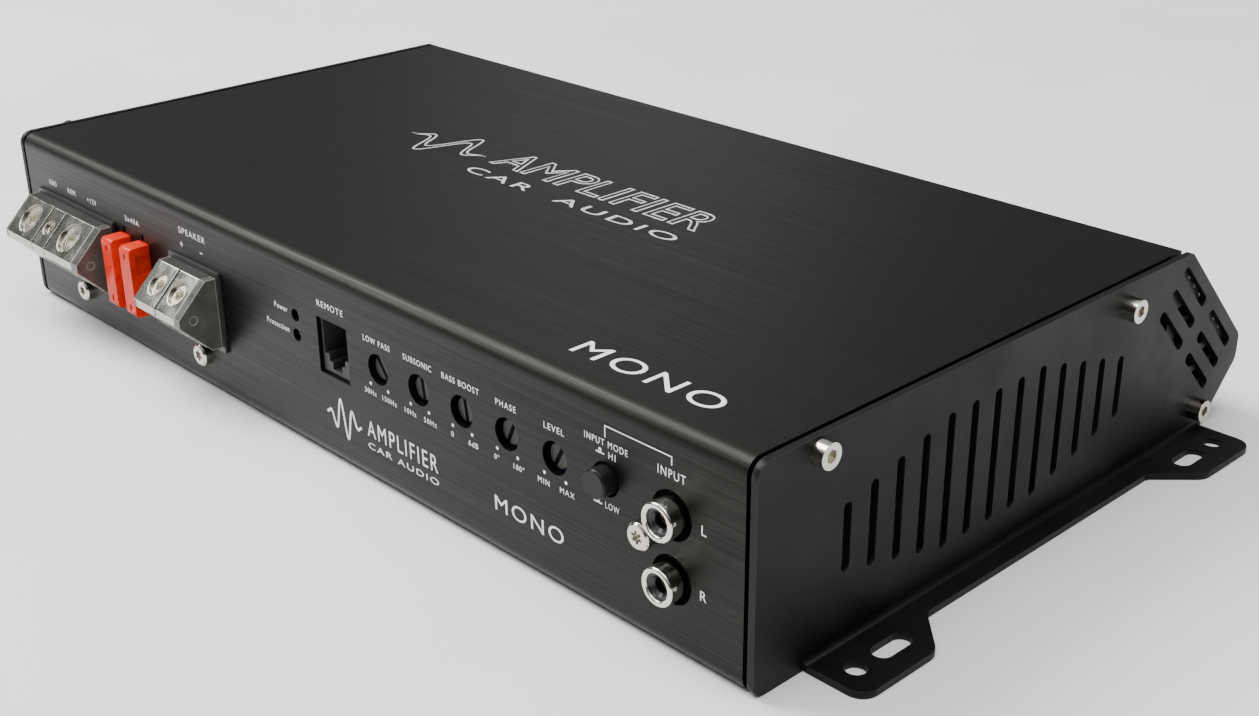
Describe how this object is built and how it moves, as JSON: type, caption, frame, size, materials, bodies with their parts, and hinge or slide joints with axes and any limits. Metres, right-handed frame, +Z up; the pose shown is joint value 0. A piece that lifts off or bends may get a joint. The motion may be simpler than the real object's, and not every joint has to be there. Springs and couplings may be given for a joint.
{
  "type": "car amplifier",
  "caption": "Car audio amplifier in a flat brushed metal case with vented side plates, mounting feet, angled wire terminals, plug-in blade fuses, recessed trimmers and phono inputs",
  "frame": {"origin": "Centre of the four round mounting holes, on the plane the feet stand on", "axes": "+X along the length to the phono sockets' end, +Y to the finned rear, +Z up; the control panel faces -Y"},
  "size_m": [0.3176, 0.1897, 0.05],
  "materials": {
    "brushed_black": "black anodised, brushed along the length",
    "black_steel": "black powder coat",
    "black_heatsink": "black anodised extrusion",
    "matte_black": "fine matte black coat",
    "nickel": "nickel plated",
    "terminal_nickel": "satin nickel plated",
    "screw_nickel": "bright nickel plated",
    "plain_aluminium": "plain machined",
    "black_housing": "moulded black, semi-gloss",
    "smoked_plastic": "smoked clear plastic",
    "inner_black": "moulded black",
    "contact_brass": "plain brass",
    "contact_gold": "gold flash",
    "fuse_red": "translucent red, moulded",
    "blade_tin": "tinned",
    "barrel_nickel": "nickel plated",
    "insulator_black": "moulded dark grey",
    "led_green": "tinted lens, unlit",
    "led_red": "tinted lens, unlit",
    "trimmer_blue": "moulded",
    "knob_grey": "dark grey moulded",
    "button_black": "black moulded",
    "board_green": "solder-masked board",
    "copper": "plain copper",
    "copper_winding": "enamelled copper wire",
    "capacitor_sleeve": "shrink sleeve",
    "film_red": "dipped film capacitor",
    "thermal_grey": "silicone sheet"
  },
  "bodies": {
    "case": {"cover": "brushed_black", "base_plate": "black_steel", "rear_heatsink": "black_heatsink", "end_plate_left": "matte_black", "end_plate_right": "matte_black", "end_plate_screws": "nickel", "corner_blocks": "plain_aluminium", "base_screws": "nickel", "power_housing": "black_housing", "power_end_caps": "smoked_plastic", "gnd_terminal": "terminal_nickel", "remote_terminal": "terminal_nickel", "supply_terminal": "terminal_nickel", "speaker_housing": "black_housing", "speaker_end_caps": "smoked_plastic", "speaker_plus_terminal": "terminal_nickel", "speaker_minus_terminal": "terminal_nickel", "terminal_mount_screws": "nickel", "fuse_holder": "inner_black", "fuse_clips": "contact_brass", "phono_block": "inner_black", "phono_barrels": "barrel_nickel", "phono_insulators": "insulator_black", "phono_contacts": "contact_brass", "phono_screw": "nickel", "remote_jack": "inner_black", "remote_jack_contacts": "contact_gold", "power_led": "led_green", "protection_led": "led_red", "knob_bodies": "trimmer_blue", "mode_switch_body": "inner_black", "control_board": "board_green", "board_header": "inner_black", "main_board": "board_green", "board_standoffs": "contact_brass", "board_screws": "nickel", "supply_busbars": "copper", "output_busbars": "copper", "power_transformer": "copper_winding", "output_inductor": "copper_winding", "supply_capacitors": "capacitor_sleeve", "output_capacitors": "film_red", "power_transistors": "inner_black", "transistor_clamp": "plain_aluminium", "thermal_pad": "thermal_grey"},
    "low_pass_knob": {"low_pass_knob": "knob_grey"},
    "subsonic_knob": {"subsonic_knob": "knob_grey"},
    "bass_boost_knob": {"bass_boost_knob": "knob_grey"},
    "phase_knob": {"phase_knob": "knob_grey"},
    "level_knob": {"level_knob": "knob_grey"},
    "mode_button": {"mode_button": "button_black"},
    "fuse_1": {"fuse_1_head": "fuse_red", "fuse_1_blades": "blade_tin"},
    "fuse_2": {"fuse_2_head": "fuse_red", "fuse_2_blades": "blade_tin"},
    "gnd_screw": {"gnd_screw": "screw_nickel"},
    "remote_screw": {"remote_screw": "screw_nickel"},
    "supply_screw": {"supply_screw": "screw_nickel"},
    "speaker_plus_screw": {"speaker_plus_screw": "screw_nickel"},
    "speaker_minus_screw": {"speaker_minus_screw": "screw_nickel"}
  },
  "joints": [
    {"name": "low_pass_turn", "type": "hinge", "parent": "case", "child": "low_pass_knob", "pos_m": [0.0289, -0.0828, 0.031], "axis": [0, 1, 0], "range_deg": [-114, 186]},
    {"name": "subsonic_turn", "type": "hinge", "parent": "case", "child": "subsonic_knob", "pos_m": [0.0439, -0.0828, 0.031], "axis": [0, 1, 0], "range_deg": [-142, 158]},
    {"name": "bass_boost_turn", "type": "hinge", "parent": "case", "child": "bass_boost_knob", "pos_m": [0.0589, -0.0828, 0.031], "axis": [0, 1, 0], "range_deg": [-141, 159]},
    {"name": "phase_turn", "type": "hinge", "parent": "case", "child": "phase_knob", "pos_m": [0.0739, -0.0828, 0.031], "axis": [0, 1, 0], "range_deg": [-175, 125]},
    {"name": "level_turn", "type": "hinge", "parent": "case", "child": "level_knob", "pos_m": [0.0889, -0.0828, 0.031], "axis": [0, 1, 0], "range_deg": [0, 300]},
    {"name": "mode_press", "type": "slide", "parent": "case", "child": "mode_button", "axis": [0, 1, 0], "range_m": [0, 0.0025], "stiffness_N_per_m": 400, "springref_m": -0.0005},
    {"name": "fuse_1_pull", "type": "slide", "parent": "case", "child": "fuse_1", "axis": [0, -1, 0], "range_m": [0, 0.016]},
    {"name": "fuse_2_pull", "type": "slide", "parent": "case", "child": "fuse_2", "axis": [0, -1, 0], "range_m": [0, 0.016]},
    {"name": "gnd_screw_out", "type": "slide", "parent": "case", "child": "gnd_screw", "axis": [0, -0.7071, 0.7071], "range_m": [0, 0.004]},
    {"name": "remote_screw_out", "type": "slide", "parent": "case", "child": "remote_screw", "axis": [0, -0.7071, 0.7071], "range_m": [0, 0.004]},
    {"name": "supply_screw_out", "type": "slide", "parent": "case", "child": "supply_screw", "axis": [0, -0.7071, 0.7071], "range_m": [0, 0.004]},
    {"name": "speaker_plus_screw_out", "type": "slide", "parent": "case", "child": "speaker_plus_screw", "axis": [0, -0.7071, 0.7071], "range_m": [0, 0.004]},
    {"name": "speaker_minus_screw_out", "type": "slide", "parent": "case", "child": "speaker_minus_screw", "axis": [0, -0.7071, 0.7071], "range_m": [0, 0.004]}
  ]
}
